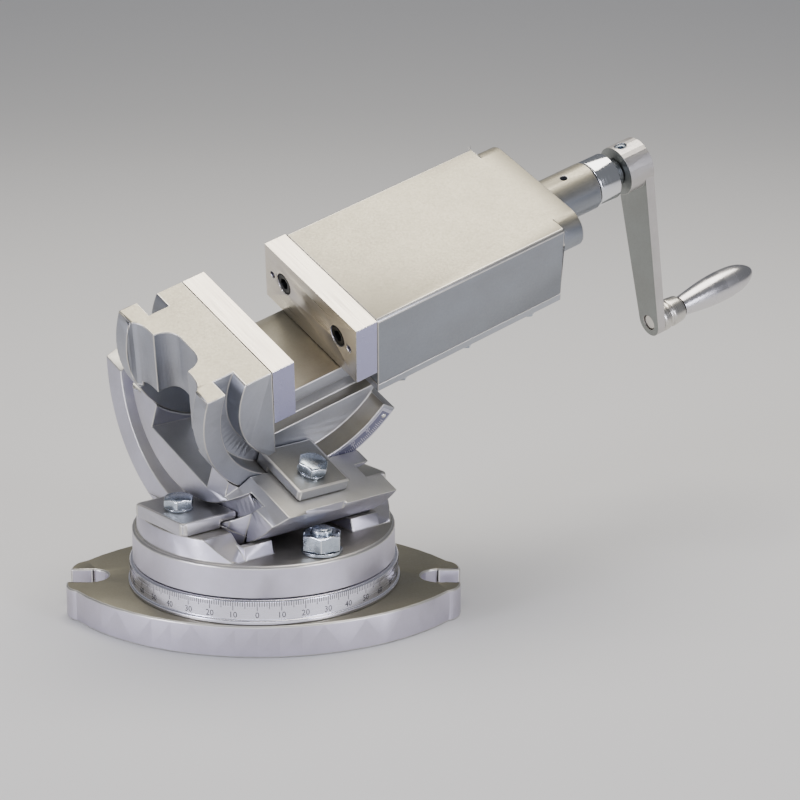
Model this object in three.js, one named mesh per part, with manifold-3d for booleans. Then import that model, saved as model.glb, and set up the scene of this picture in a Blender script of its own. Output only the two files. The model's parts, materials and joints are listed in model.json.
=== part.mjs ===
// Three-axis precision machine vise, 75 mm jaws: a graduated swivel base, a turntable, a side-tilting saddle
// and an end-tilting screw vise. Millimetres, +Z up, origin at the centre of the base's underside.
import * as THREE from "three";
import { mergeVertices } from "three/addons/utils/BufferGeometryUtils.js";
import Module from "manifold-3d";

const wasm = await Module();
wasm.setup();

// ---- Driving dimensions -------------------------------------------------------------------------
const GAP = 0.3; // between pieces that touch
const TURN = { swivel: 39.3, side: 22.3, end: 17.1 }; // the clamped angles, in degrees

const JAW = { width: 75, plate: 12, plateHeight: 32.5, opening: 34, top: 19, face: -12 };
const SCREW_PITCH_RADIUS = 7; // lead screw
const SCREW_AXIS = JAW.top - 20; // its height in the vise's frame

const BASE = { halfLength: 94, halfWidth: 66, sideRadius: 108, thickness: 15.6, tip: 9, slot: 17, slotLength: 19 };
const DIAL = { radius: 64.2, inner: 60.3, top: 27.5 };
const TABLE = { radius: 62.7, top: 43.3, seat: 53.5, boltCircle: 51.4, boltTurn: -5, horn: 39, relief: 23 };
const SIDE_AXIS = 116.4; // height of the side-tilt axis above the base's underside
const END_AXIS = 21.8; // height of the end-tilt axis above the side-tilt axis

// A T-rail: an arc-shaped flange on a narrower neck, which carries a full-width body inside a clamp groove.
const SIDE_RAIL = { outer: 75, shoulder: 63, body: 54, neck: 29, top: -26.5 };
const END_RAIL = { outer: 61.2, shoulder: 52, body: 42.3, neck: 27, end: 46, bottom: -32 };
const HALF = JAW.width / 2;
const CHANNEL = HALF + 0.5; // half-width of the channel that a flange runs in

const SIDE_CLAMP = { inner: SIDE_RAIL.neck + 0.7, outer: 60, half: 19.5, thickness: 6.4, bolt: 48.5 };
const END_CLAMP = { inner: END_RAIL.neck + 0.7, outer: 61.4, half: 15, top: -21.2, bolt: 49.5 };
const END_NOTCH = { front: 68.3, from: -7.5, to: 15 }; // a step in the saddle's edge beyond each end clamp
const BED = { half: 24.5, top: JAW.top - JAW.plateHeight - GAP, flange: 7.7, web: 21, end: 95 };

const BLOCK = { front: JAW.face + JAW.opening + JAW.plate, length: 109, height: 45, keeper: 4.2 };
const BLOCK_END = BLOCK.front + BLOCK.length;
const BOSS = { radius: 10.2, length: 12.2 };
const HOUSING = { radius: 12.2, end: 187.5 };
const COLLAR = { radius: 12, length: 12.4 };
const HUB = { radius: 12.6, length: 14.4, gap: 5.8, armThickness: 5.2 };
const ARM = { length: 93, angle: 15, top: 11, bottom: 7.6, thin: 4.7 };
const GRIP = { start: 16.5, length: 49, neck: 4.8, radius: 8 };

// ---- Shapes -------------------------------------------------------------------------------------
const rad = THREE.MathUtils.degToRad;

function solid(geometry) {
  geometry.deleteAttribute("normal");
  geometry.deleteAttribute("uv");
  const merged = mergeVertices(geometry, 1e-4);
  return new wasm.Manifold(
    new wasm.Mesh({
      numProp: 3,
      vertProperties: merged.attributes.position.array,
      triVerts: new Uint32Array(merged.index.array),
    }),
  );
}

// An outline in the plane across an axis, carried along that axis. The outline's two coordinates are
// y, z across x; x, z across y; and x, y across z.
const ACROSS = {
  x: new THREE.Matrix4().set(0, 0, 1, 0, 1, 0, 0, 0, 0, 1, 0, 0, 0, 0, 0, 1),
  y: new THREE.Matrix4().set(1, 0, 0, 0, 0, 0, -1, 0, 0, 1, 0, 0, 0, 0, 0, 1),
  z: new THREE.Matrix4(),
};
function prism(outline, along, from, to) {
  const drawn = outline instanceof THREE.Shape;
  const shape = drawn ? outline : new THREE.Shape(outline.map(([a, b]) => new THREE.Vector2(a, b)));
  const geometry = new THREE.ExtrudeGeometry(shape, { depth: to - from, bevelEnabled: false, curveSegments: 10 });
  geometry.applyMatrix4(ACROSS[along]);
  const start = { x: [from, 0, 0], y: [0, to, 0], z: [0, 0, from] };
  geometry.translate(...start[along]);
  return solid(geometry);
}

function box(x0, x1, y0, y1, z0, z1) {
  return prism([[x0, y0], [x1, y0], [x1, y1], [x0, y1]], "z", z0, z1);
}

function circle(a, b, radius, sides = 20) {
  const at = (i) => (2 * Math.PI * (i + 0.5)) / sides;
  return Array.from({ length: sides }, (_, i) => [a + radius * Math.cos(at(i)), b + radius * Math.sin(at(i))]);
}

function hexagon(a, b, acrossFlats) {
  return circle(a, b, acrossFlats / Math.sqrt(3), 6);
}

// Points of an arc about (a, b), whose angle is counted from straight down towards the first coordinate.
function arc(a, b, radius, from, to, steps) {
  const at = (i) => rad(from + ((to - from) * i) / steps);
  const count = { length: steps + 1 };
  return Array.from(count, (_, i) => [a + radius * Math.sin(at(i)), b - radius * Math.cos(at(i))]);
}

function ringSector(inner, outer, from, to, steps) {
  return [...arc(0, 0, outer, from, to, steps), ...arc(0, 0, inner, to, from, steps)];
}

// A profile of [radius, height] points turned about the Z axis, listed anticlockwise.
function turned(profile, sides = 48) {
  const points = profile.map(([r, h]) => new THREE.Vector2(r, h));
  return solid(new THREE.LatheGeometry(points, sides).rotateX(Math.PI / 2));
}

// The same, turned about the X axis at height z and distance y.
function turnedAlongX(profile, y, z, sides = 24) {
  const points = profile.map(([r, h]) => new THREE.Vector2(r, h));
  const geometry = new THREE.LatheGeometry(points, sides).rotateZ(-Math.PI / 2);
  return solid(geometry.translate(0, y, z));
}

function both(make) {
  return [-1, 1].map(make);
}

// The lower and the higher of two places on an axis.
function span(a, b) {
  return [Math.min(a, b), Math.max(a, b)];
}

function cutAll(body, tools) {
  return tools.reduce((rest, tool) => rest.subtract(tool), body);
}

function joinAll(parts) {
  return parts.reduce((whole, part) => whole.add(part));
}

// ---- Base ---------------------------------------------------------------------------------------
function baseOutline() {
  const { halfLength, halfWidth, sideRadius, tip } = BASE;
  const centre = sideRadius - halfWidth;
  const shoulder = halfLength - 6;
  const shoulderY = Math.sqrt(sideRadius ** 2 - shoulder ** 2) - centre;
  const start = Math.atan2(shoulderY + centre, shoulder);
  const shape = new THREE.Shape();
  shape.moveTo(halfLength, -tip);
  shape.lineTo(halfLength, tip);
  shape.quadraticCurveTo(halfLength, shoulderY - 3, shoulder, shoulderY);
  shape.absarc(0, -centre, sideRadius, start, Math.PI - start, false);
  shape.quadraticCurveTo(-halfLength, shoulderY - 3, -halfLength, tip);
  shape.lineTo(-halfLength, -tip);
  shape.quadraticCurveTo(-halfLength, 3 - shoulderY, -shoulder, -shoulderY);
  shape.absarc(0, centre, sideRadius, Math.PI + start, 2 * Math.PI - start, false);
  shape.quadraticCurveTo(halfLength, 3 - shoulderY, halfLength, -tip);
  return shape;
}

// The circular T-slot that the swivel bolts' heads run in.
const SLOT = { neck: 5.4, head: 7.4, floor: 8, ceiling: 17.5 };

function basePlate() {
  const { thickness, slot, slotLength, halfLength } = BASE;
  const plate = prism(baseOutline(), "z", 0, thickness);
  const boss = prism(circle(0, 0, DIAL.inner - GAP, 40), "z", thickness - 1, DIAL.top - 0.2);
  const deep = halfLength - slotLength + slot / 2;
  const slots = both((side) =>
    prism(circle(side * deep, 0, slot / 2, 20), "z", -1, thickness + 1).add(
      box(Math.min(side * deep, side * 100), Math.max(side * deep, side * 100), -slot / 2, slot / 2, -1, 17),
    ),
  );
  const r = TABLE.boltCircle;
  const ring = [
    [r - SLOT.head, SLOT.floor],
    [r + SLOT.head, SLOT.floor],
    [r + SLOT.head, SLOT.ceiling],
    [r + SLOT.neck, SLOT.ceiling],
    [r + SLOT.neck, DIAL.top + 1],
    [r - SLOT.neck, DIAL.top + 1],
    [r - SLOT.neck, SLOT.ceiling],
    [r - SLOT.head, SLOT.ceiling],
    [r - SLOT.head, SLOT.floor],
  ];
  const pivotBore = prism(circle(0, 0, PIVOT.radius + GAP), "z", PIVOT.floor, 40);
  return cutAll(plate.add(boss), [...slots, turned(ring, 40), pivotBore]);
}

const PIVOT = { radius: 10, floor: 5, top: 37 };

function pivotPin() {
  const { radius, floor, top } = PIVOT;
  return turned([[0, floor + GAP], [radius, floor + GAP], [radius, top - 1], [radius - 1, top], [0, top]], 32);
}

function dialRing() {
  const { radius, inner, top } = DIAL;
  const low = BASE.thickness + GAP;
  const lip = radius + 0.8;
  return turned(
    [[inner, low], [lip, low], [lip, low + 1.5], [radius, low + 2], [radius, top - 0.8], [radius - 0.8, top],
      [inner, top], [inner, low]],
    48,
  );
}

// ---- Fasteners ----------------------------------------------------------------------------------
// A hexagon head or nut, its top corners turned off, standing on z at (x, y).
function hexHead(x, y, z, acrossFlats, height) {
  const corner = acrossFlats / Math.sqrt(3) + 0.1;
  const turnedOff = [[0, 0], [corner, 0], [corner, height - 0.9], [acrossFlats / 2 - 0.3, height], [0, height]];
  const head = prism(hexagon(0, 0, acrossFlats), "z", 0, height).intersect(turned(turnedOff, 12));
  return head.translate([x, y, z]);
}

function washer(x, y, z, outer, inner, thickness) {
  const ring = prism(circle(x, y, outer, 20), "z", z, z + thickness);
  return ring.subtract(prism(circle(x, y, inner, 12), "z", z - 1, z + thickness + 1));
}

const CLAMP_BOLT = { radius: 4, flats: 13, head: 4.7, washer: 6.8, washerThickness: 1.1, hole: 4.5, turn: 20 };

function clampWasher(x, y, z) {
  const { washer: outer, hole, washerThickness } = CLAMP_BOLT;
  return washer(x, y, z + GAP / 2, outer, hole, washerThickness);
}

// z is the clamp's top face; the shank goes down by depth.
function clampBolt(x, y, z, depth) {
  const { radius, flats, head, washerThickness, turn } = CLAMP_BOLT;
  const under = washerThickness + GAP;
  const shank = prism(circle(0, 0, radius, 10), "z", -depth, under + 1);
  return hexHead(0, 0, under, flats, head).add(shank).rotate([0, 0, turn]).translate([x, y, z]);
}

const SWIVEL_BOLT = { radius: 5, head: 13, headHeight: 7, flats: 17, nut: 8, washer: 9.6, washerThickness: 1.8 };

function swivelBolt(y) {
  const { radius, head, headHeight, nut, washerThickness } = SWIVEL_BOLT;
  const bottom = SLOT.ceiling - GAP - headHeight;
  const top = TABLE.top + washerThickness + nut + 2.2;
  const tee = box(-head / 2, head / 2, y - head / 2, y + head / 2, bottom, bottom + headHeight);
  return tee.add(turned([[0, 0], [radius, 0], [radius, top - 13], [radius - 0.8, top - 12], [0, top - 12]], 12)
    .translate([0, y, 12]));
}

function swivelWasher(y) {
  const { radius, washer: outer, washerThickness } = SWIVEL_BOLT;
  return washer(0, y, TABLE.top + GAP, outer, radius + GAP, washerThickness - GAP);
}

function swivelNut(y) {
  const { radius, flats, nut, washerThickness } = SWIVEL_BOLT;
  const z = TABLE.top + washerThickness + GAP;
  return hexHead(0, 0, 0, flats, nut - GAP)
    .subtract(prism(circle(0, 0, radius + GAP, 12), "z", -1, nut + 1))
    .rotate([0, 0, 26])
    .translate([0, y, z]);
}

// ---- Turntable ----------------------------------------------------------------------------------
// A disc with a raised seat on each side. The saddle's flange runs in a hollow channel between the seats,
// on two narrow strips with a relief between them.
function turntable() {
  const { radius, top, seat, boltCircle, boltTurn, horn, relief } = TABLE;
  const low = DIAL.top + GAP;
  const disc = turned([[0, low], [radius, low], [radius, top - 1], [radius - 1, top], [0, top]], 60);
  const round = prism(circle(0, 0, radius - 2.4, 60), "z", low + 1, seat);
  const strip = [[-horn - 0.6, top - 1], [horn + 0.6, top - 1], [horn, seat - 4], [1 - horn, seat - 4]];
  const seatEnd = horn - 12;
  const raised = [[-horn - 1, top - 0.5], [horn + 1, top - 0.5], [seatEnd, seat], [-seatEnd, seat]];
  const seats = both((side) => {
    const [near, far] = span(side * relief, side * (CHANNEL + 1));
    const outside = span(side * CHANNEL, side * radius);
    return round.intersect(prism(strip, "x", near, far).add(prism(raised, "x", ...outside)));
  });
  const channel = prism(circle(0, SIDE_AXIS, SIDE_RAIL.outer + GAP, 120), "x", -CHANNEL, CHANNEL);
  const pivot = prism(circle(0, 0, PIVOT.radius + GAP), "z", 0, PIVOT.top + 1);
  const boltHoles = both((side) =>
    prism(circle(0, side * boltCircle, SWIVEL_BOLT.radius + GAP, 16), "z", 0, 60).rotate([0, 0, boltTurn]),
  );
  const tapped = both((side) =>
    prism(circle(side * SIDE_CLAMP.bolt, 0, CLAMP_BOLT.radius + GAP, 12), "z", seat - 20, seat + 1),
  );
  return cutAll(joinAll([disc, ...seats]), [channel, pivot, ...boltHoles, ...tapped]);
}

// A clamp plate on the turntable's seat. Its lip lies in the saddle's groove, on the flange's shoulder.
function sideClamp(side) {
  const { inner, outer, half, thickness, bolt } = SIDE_CLAMP;
  const low = TABLE.seat + GAP;
  const corner = 1;
  const outline = [[inner, -half], [outer - corner, -half], [outer, corner - half], [outer, half - corner],
    [outer - corner, half], [inner, half]].map(([x, y]) => [side * x, y]);
  const plate = prism(outline, "z", low, low + thickness);
  const lip = span(side * (inner - 2), side * (CHANNEL + GAP));
  const groove = prism(circle(0, SIDE_AXIS, SIDE_RAIL.outer, 120), "x", ...lip)
    .subtract(prism(circle(0, SIDE_AXIS, SIDE_RAIL.shoulder - GAP, 96), "x", -90, 90));
  const hole = prism(circle(side * bolt, 0, CLAMP_BOLT.hole, 16), "z", low - 1, low + thickness + 1);
  return cutAll(plate, [groove, hole]);
}
const SIDE_CLAMP_TOP = TABLE.seat + GAP + SIDE_CLAMP.thickness;

// ---- Saddle (its own frame: x along the side-tilt axis, origin on it) ---------------------------
// Segment of a round bar of the given radius, below a flat top.
function bowl(radius, top, steps) {
  const end = THREE.MathUtils.radToDeg(Math.acos(-top / radius));
  return arc(0, 0, radius, -end, end, steps);
}

const END_SHOULDER = END_AXIS - END_RAIL.shoulder; // top of the vise's flange where the clamps hold it

function saddle() {
  const { outer, shoulder, body, neck, top } = SIDE_RAIL;
  const flange = prism(bowl(outer, top, 44), "x", -HALF, HALF)
    .subtract(prism(circle(0, 0, shoulder, 96), "x", -HALF - 1, HALF + 1));
  const web = prism(bowl(shoulder + 1, top, 36), "x", -neck, neck);
  const middle = prism(bowl(body, top, 32), "x", -HALF, HALF);
  const channel = prism(circle(0, END_AXIS, END_RAIL.outer + GAP, 120), "y", -CHANNEL, CHANNEL);
  const floor = END_AXIS - END_RAIL.outer - GAP;
  const relief = box(-80, 80, -TABLE.relief - 1, TABLE.relief + 1, floor, 0);
  const { front, from, to } = END_NOTCH;
  const steps = both((side) =>
    box(...span(side * from, side * to), ...span(side * front, side * (outer + 1)), -60, 0),
  );
  const notch = box(31, HALF + 1, -56, -50.5, -46, 0);
  const tapped = both((side) =>
    prism(circle(0, side * END_CLAMP.bolt, CLAMP_BOLT.radius + GAP, 10), "z", END_SHOULDER - 18, 0),
  );
  const corners = both((side) => {
    const slope = [[25.5, top], [25.5, 1], [HALF + 1, 1], [HALF + 1, top - 9.2], [32, top - 5.5]];
    const trimmed = [[32, 90], [32, 52], [HALF + 1, 44], [HALF + 1, 90]];
    return prism(slope.map(([x, z]) => [side * x, z]), "y", ...span(side * CHANNEL, side * 90))
      .add(prism(trimmed.map(([x, y]) => [side * x, side * y]), "z", -60, 1));
  });
  const rearSlope = [[6 - HALF, top], [6 - HALF, 1], [-HALF - 1, 1], [-HALF - 1, top - 3.2]];
  const rearEnd = prism(rearSlope, "y", CHANNEL, 90);
  const cuts = [channel, relief, notch, rearEnd, ...steps, ...tapped, ...corners];
  return cutAll(joinAll([flange, web, middle]), cuts);
}

// A clamp plate on the saddle's top. Its lip lies in the vise's groove, on the flange's shoulder.
function endClamp(side) {
  const { inner, outer, half, top, bolt } = END_CLAMP;
  const seat = SIDE_RAIL.top;
  const plate = box(-half, half, ...span(side * inner, side * outer), seat + GAP, top)
    .add(box(-half, half, ...span(side * inner, side * HALF), END_SHOULDER + GAP, top));
  const groove = prism(circle(0, END_AXIS, END_RAIL.outer, 96), "y", -CHANNEL, CHANNEL)
    .subtract(prism(circle(0, END_AXIS, END_RAIL.shoulder - GAP, 96), "y", -90, 90));
  const hole = prism(circle(0, side * bolt, CLAMP_BOLT.hole, 16), "z", seat - 1, top + 1);
  return cutAll(plate, [groove, hole]);
}

// ---- Vise (its own frame: x towards the crank, y along the end-tilt axis, origin on it) ---------
const JAW_BACK = JAW.face - JAW.plate; // the casting's face behind the fixed jaw plate
const PLATE_SCREW = { y: 22, z: JAW.top - 14.5, radius: 3, head: 5, headHeight: 6, bore: 5.5, depth: 6.6 };
const DOWEL = { y: 31.5, z: JAW.top - 15.5, radius: 1.6, length: 12 };

// The recess down the back of the fixed jaw: a shallow hollow between the ears and a deep one in the middle.
function backRecess() {
  const back = -80;
  const shallow = new THREE.Shape();
  shallow.moveTo(back, -28);
  shallow.lineTo(-59, -28);
  shallow.quadraticCurveTo(-53.5, -26, -54, -14.3);
  shallow.quadraticCurveTo(-45.5, -13.5, -44.8, -6);
  shallow.lineTo(-44.8, 6);
  shallow.quadraticCurveTo(-45.5, 13.5, -54, 14.3);
  shallow.quadraticCurveTo(-53.5, 26, -59, 28);
  shallow.lineTo(back, 28);
  const pocket = prism(shallow, "z", -20, 60);
  const hollow = prism(ringSector(46, 80, -72, -30, 10), "y", -25, 25);
  return pocket.add(hollow);
}

function viseBody() {
  const { outer, shoulder, body, neck, end, bottom } = END_RAIL;
  const topAngle = -90 - THREE.MathUtils.radToDeg(Math.asin(JAW.top / outer)) - 8;
  const keep = box(-80, 200, -HALF, HALF, -80, JAW.top);
  const flange = prism(ringSector(shoulder, outer, topAngle, end, 40), "y", -HALF, HALF).intersect(keep);
  const rim = arc(0, 0, shoulder + 1, topAngle, end - 4, 36);
  const webOutline = [...rim, [41, bottom], [JAW_BACK, bottom], [JAW_BACK, 30]];
  const web = prism(webOutline, "y", -neck, neck).intersect(keep);
  const jawRound = prism(circle(0, 0, body, 96), "y", -HALF, HALF);
  const jaw = box(-70, JAW_BACK, -HALF, HALF, bottom, JAW.top).intersect(jawRound);
  const bed = box(JAW_BACK - 5, BED.end, -BED.half, BED.half, BED.top - BED.flange, BED.top);
  const stem = box(JAW_BACK - 5, BED.end, -BED.web, BED.web, bottom - 1, BED.top - 1);
  const nutSlot = box(NUT.from - GAP, NUT.to + GAP, -NUT.half - GAP, NUT.half + GAP, BED.top - 6 - GAP, BED.top + 1);
  const nutHole = prism(circle((NUT.from + NUT.to) / 2, 0, 3.3, 20), "z", bottom - 2, BED.top);
  const tapped = both((side) =>
    prism(circle(side * PLATE_SCREW.y, PLATE_SCREW.z, PLATE_SCREW.radius + GAP, 12), "x", JAW_BACK - 11, 0),
  );
  const pinned = both((side) =>
    prism(circle(side * DOWEL.y, DOWEL.z, DOWEL.radius + GAP, 8), "x", JAW_BACK - DOWEL.length / 2, 0),
  );
  const whole = joinAll([flange, web, jaw, bed, stem]);
  return cutAll(whole, [backRecess(), nutSlot, nutHole, ...tapped, ...pinned]);
}

// A jaw plate whose gripping face is at x = face and which lies on the +x side of it (towards = 1) or the other.
function jawPlate(face, towards) {
  const back = face + towards * (JAW.plate - GAP);
  const [low, high] = span(face, back);
  const plate = box(low, high, -HALF, HALF, JAW.top - JAW.plateHeight, JAW.top);
  const { y, z, bore, depth, radius } = PLATE_SCREW;
  const sunk = span(face - towards, face + towards * depth);
  const tools = both((side) =>
    prism(circle(side * y, z, bore, 20), "x", ...sunk)
      .add(prism(circle(side * y, z, radius + GAP, 12), "x", low - 1, high + 1))
      .add(prism(circle(side * DOWEL.y, DOWEL.z, DOWEL.radius + GAP, 8), "x", low - 1, high + 1)),
  );
  return cutAll(plate, tools);
}

function plateScrew(face, towards, side) {
  const { y, z, head, headHeight, radius, depth } = PLATE_SCREW;
  const seat = face + towards * (depth - GAP);
  const top = seat - towards * headHeight;
  const [h0, h1] = span(top, seat);
  const [s0, s1] = span(seat, face + towards * (JAW.plate + 9));
  const [k0, k1] = span(top - towards, top + towards * 3);
  return prism(circle(side * y, z, head, 20), "x", h0, h1)
    .add(prism(circle(side * y, z, radius, 12), "x", s0 - 0.5, s1 + 0.5))
    .subtract(prism(hexagon(side * y, z, 5), "x", k0, k1));
}

function dowel(face, towards, side) {
  const [low, high] = span(face + towards * 1.2, face + towards * (JAW.plate + 5));
  return prism(circle(side * DOWEL.y, DOWEL.z, DOWEL.radius, 8), "x", low, high);
}

// The nut stands in a slot across the end of the bed and is held from below.
const NUT = { from: 76.6, to: 90, half: 12, top: SCREW_AXIS + 12 };

function leadNut() {
  const { from, to, half, top } = NUT;
  const body = box(from, to, -half, half, BED.top - 6, top);
  const thread = prism(circle(0, SCREW_AXIS, SCREW_PITCH_RADIUS + GAP, 24), "x", from - 1, to + 1);
  const tapped = prism(circle((from + to) / 2, 0, 3.3, 16), "z", BED.top - 7, BED.top - 1);
  return cutAll(body, [thread, tapped]);
}

function nutScrew() {
  const x = (NUT.from + NUT.to) / 2;
  const shank = prism(circle(x, 0, 3, 16), "z", END_RAIL.bottom - 2, BED.top - 1.5);
  return shank.add(prism(hexagon(x, 0, 10), "z", END_RAIL.bottom - 5.3, END_RAIL.bottom - 1.3));
}

// ---- Movable jaw --------------------------------------------------------------------------------
const BLOCK_LOW = JAW.top - BLOCK.height + BLOCK.keeper + GAP;
const KEEPER_BOLTS = [17, 55, 93]; // from the block's front face

function movableJaw() {
  const { front } = BLOCK;
  const chamfer = 1.2;
  const outline = [[-HALF, BLOCK_LOW], [HALF, BLOCK_LOW], [HALF, JAW.top - chamfer], [HALF - chamfer, JAW.top],
    [chamfer - HALF, JAW.top], [-HALF, JAW.top - chamfer]];
  const block = prism(outline, "x", front, BLOCK_END);
  const boss = prism(bossOutline(), "x", BLOCK_END - 1, BLOCK_END + BOSS.length);
  const housing = prism(circle(0, SCREW_AXIS, HOUSING.radius, 32), "x", BLOCK_END - 1, HOUSING.end);
  const bedWay = box(front - 1, BLOCK_END - 12, -BED.half - GAP, BED.half + GAP, -60, BED.top + GAP);
  const nutWay = box(front + 4, BLOCK_END - 12, -NUT.half - 2, NUT.half + 2, -60, NUT.top + 1.2);
  const shaft = prism(circle(0, SCREW_AXIS, SCREW_PITCH_RADIUS + GAP, 24), "x", BLOCK_END - 20, HOUSING.end + 1);
  const oilHole = prism(circle(HOUSING.end - 15, 0, 1.8, 16), "z", SCREW_AXIS + 5, SCREW_AXIS + 20);
  const plateHoles = both((side) =>
    prism(circle(side * PLATE_SCREW.y, PLATE_SCREW.z, PLATE_SCREW.radius + GAP, 12), "x", front - 1, front + 11)
      .add(prism(circle(side * DOWEL.y, DOWEL.z, DOWEL.radius + GAP, 8), "x", front - 1, front + 6)),
  );
  const keeperHoles = both((side) =>
    joinAll(KEEPER_BOLTS.map((x) => prism(circle(front + x, side * KEEPER.bolt, 2.8, 8), "z", -60, BLOCK_LOW + 9))),
  );
  return cutAll(joinAll([block, boss, housing]), [bedWay, nutWay, shaft, oilHole, ...plateHoles, ...keeperHoles]);
}

// A bar with round ends across the block's rear, flush with its top.
function bossOutline() {
  const { radius } = BOSS;
  const middle = JAW.top - radius;
  const shape = new THREE.Shape();
  shape.moveTo(radius - HALF, middle - radius);
  shape.absarc(HALF - radius, middle, radius, -Math.PI / 2, Math.PI / 2, false);
  shape.absarc(radius - HALF, middle, radius, Math.PI / 2, 1.5 * Math.PI, false);
  return shape;
}

// The strips that hook under the bed's flange.
const KEEPER = { inner: BED.web + 0.5, bolt: 31, low: JAW.top - BLOCK.height };

function keeper(side) {
  const [near, far] = span(side * KEEPER.inner, side * HALF);
  const strip = box(BLOCK.front, BLOCK_END, near, far, KEEPER.low, KEEPER.low + BLOCK.keeper);
  const holes = KEEPER_BOLTS.map((x) =>
    prism(circle(BLOCK.front + x, side * KEEPER.bolt, 2.8, 8), "z", KEEPER.low - 1, KEEPER.low + 10),
  );
  return cutAll(strip, holes);
}

function keeperBolt(x, side) {
  const at = [BLOCK.front + x, side * KEEPER.bolt];
  const head = prism(hexagon(...at, 8), "z", KEEPER.low - GAP - 3.5, KEEPER.low - GAP);
  return head.add(prism(circle(...at, 2.5, 8), "z", KEEPER.low - 1, BLOCK_LOW + 8));
}

// ---- Screw and crank ----------------------------------------------------------------------------
const COLLAR_START = HOUSING.end + 0.6;
const HUB_START = COLLAR_START + COLLAR.length + HUB.gap;
const HUB_END = HUB_START + HUB.length;

function leadScrew() {
  const r = SCREW_PITCH_RADIUS;
  const start = BLOCK.front + 7;
  const profile = [[0, start], [r - 1.5, start], [r, start + 1.5], [r, BLOCK_END - 12], [r, HUB_START - 0.5],
    [r - 1, HUB_START], [r - 1, HUB_END - 2], [0, HUB_END - 2]];
  return turnedAlongX(profile, 0, SCREW_AXIS);
}

// Held on the screw inside the block, behind the rear wall.
function thrustRing() {
  const end = BLOCK_END - 12 - GAP;
  const r = SCREW_PITCH_RADIUS + GAP;
  return turnedAlongX([[r, end - 6], [11, end - 6], [11, end], [r, end], [r, end - 6]], 0, SCREW_AXIS);
}

function screwCollar() {
  const r = SCREW_PITCH_RADIUS + GAP;
  const [a, b] = [COLLAR_START, COLLAR_START + COLLAR.length];
  const profile = [[r, a], [COLLAR.radius - 0.7, a], [COLLAR.radius, a + 0.7], [COLLAR.radius, b - 0.7],
    [COLLAR.radius - 0.7, b], [r, b], [r, a]];
  return turnedAlongX(profile, 0, SCREW_AXIS, 24);
}

// The crank is drawn hanging along -Z about the screw's axis, with the axis at the origin.
function crankArm() {
  const { length, top, bottom, thin } = ARM;
  const outline = new THREE.Shape();
  const lean = Math.asin((top - bottom) / length);
  outline.absarc(0, -length, bottom, Math.PI + lean, 2 * Math.PI - lean, false);
  outline.absarc(0, 0, top + 1, -lean, Math.PI + lean, false);
  const arm = prism(outline, "x", HUB_END - HUB.armThickness, HUB_END);
  const side = [[-length - 20, HUB_END - thin], [20, HUB_END - HUB.armThickness - 0.4], [20, 400], [-length - 20, 400]]
    .map(([z, x]) => [x, z]);
  const tapered = arm.intersect(prism(side, "y", -40, 40));
  const hub = prism(circle(0, 0, HUB.radius, 32), "x", HUB_START, HUB_END);
  const bore = prism(circle(0, 0, SCREW_PITCH_RADIUS - 1 + GAP, 16), "x", HUB_START - 1, HUB_END - 1.6);
  const pinBore = prism(circle(0, -length, 4 + GAP, 16), "x", HUB_END - 20, HUB_END + 1);
  const setHole = prism(circle((HUB_START + HUB_END - HUB.armThickness) / 2, 0, 3 + GAP, 12), "z", 5.5, 20);
  return cutAll(tapered.add(hub), [bore, pinBore, setHole]);
}

function crankSetScrew() {
  const x = (HUB_START + HUB_END - HUB.armThickness) / 2;
  return prism(circle(x, 0, 3, 16), "z", SCREW_PITCH_RADIUS - 0.6, HUB.radius - 1)
    .subtract(prism(hexagon(x, 0, 3), "z", HUB.radius - 4, HUB.radius + 1));
}

// Riveted through the arm; the ferrule shoulders on the arm and the grip turns on the spindle.
function handleSpindle() {
  const [a, b] = [HUB_END + GAP, HUB_END + GRIP.start];
  const tip = b + GRIP.length - 5;
  const profile = [[0, HUB_END - ARM.thin + 0.5], [4, HUB_END - ARM.thin + 0.5], [4, a], [7.4, a], [7.7, a + 1],
    [7.7, a + 4], [6.8, a + 5], [6.8, a + 6.5], [7.5, a + 7.5], [7, b - 2], [5.2, b - 0.4], [2.5, b - 0.4],
    [2.5, tip - 1], [1.5, tip], [0, tip]];
  return turnedAlongX(profile, 0, -ARM.length, 16);
}

function grip() {
  const { start, length, neck, radius } = GRIP;
  const x0 = HUB_END + start;
  const bore = 2.8;
  const belly = [0, 0.14, 0.3, 0.45, 0.6, 0.74, 0.86, 0.95].map((t) => {
    const swell = Math.sin(Math.PI * Math.min(1, t * 1.02) ** 1.25);
    return [neck + (radius - neck) * swell - Math.max(0, t - 0.8) * 14, x0 + t * length];
  });
  const x1 = x0 + length;
  const profile = [[bore, x0], ...belly, [0, x1], [0, x1 - 3.5], [bore, x1 - 4.2], [bore, x0]];
  return turnedAlongX(profile, 0, -ARM.length, 16);
}

// ---- Finishes -----------------------------------------------------------------------------------
const FINISH = {
  casting: { color: 0xb4b0a4, roughness: 0.45, metalness: 0.85 },
  ground: { color: 0xc9c9cf, roughness: 0.3, metalness: 1 },
  polished: { color: 0xd6d6da, roughness: 0.15, metalness: 1 },
  steel: { color: 0x9fa6ac, roughness: 0.35, metalness: 1 },
  bronze: { color: 0xa98954, roughness: 0.4, metalness: 1 },
};

function place(group, name, manifold, finish) {
  const mesh = manifold.getMesh();
  const geometry = new THREE.BufferGeometry();
  geometry.setAttribute("position", new THREE.BufferAttribute(mesh.vertProperties, 3));
  geometry.setIndex(new THREE.BufferAttribute(mesh.triVerts, 1));
  geometry.computeVertexNormals();
  const piece = new THREE.Mesh(geometry, new THREE.MeshStandardMaterial(FINISH[finish]));
  piece.name = name;
  group.add(piece);
}

// ---- Assembly -----------------------------------------------------------------------------------
const part = new THREE.Group();
place(part, "base_plate", basePlate(), "casting");
place(part, "dial_ring", dialRing(), "polished");
place(part, "pivot_pin", pivotPin(), "steel");

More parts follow.
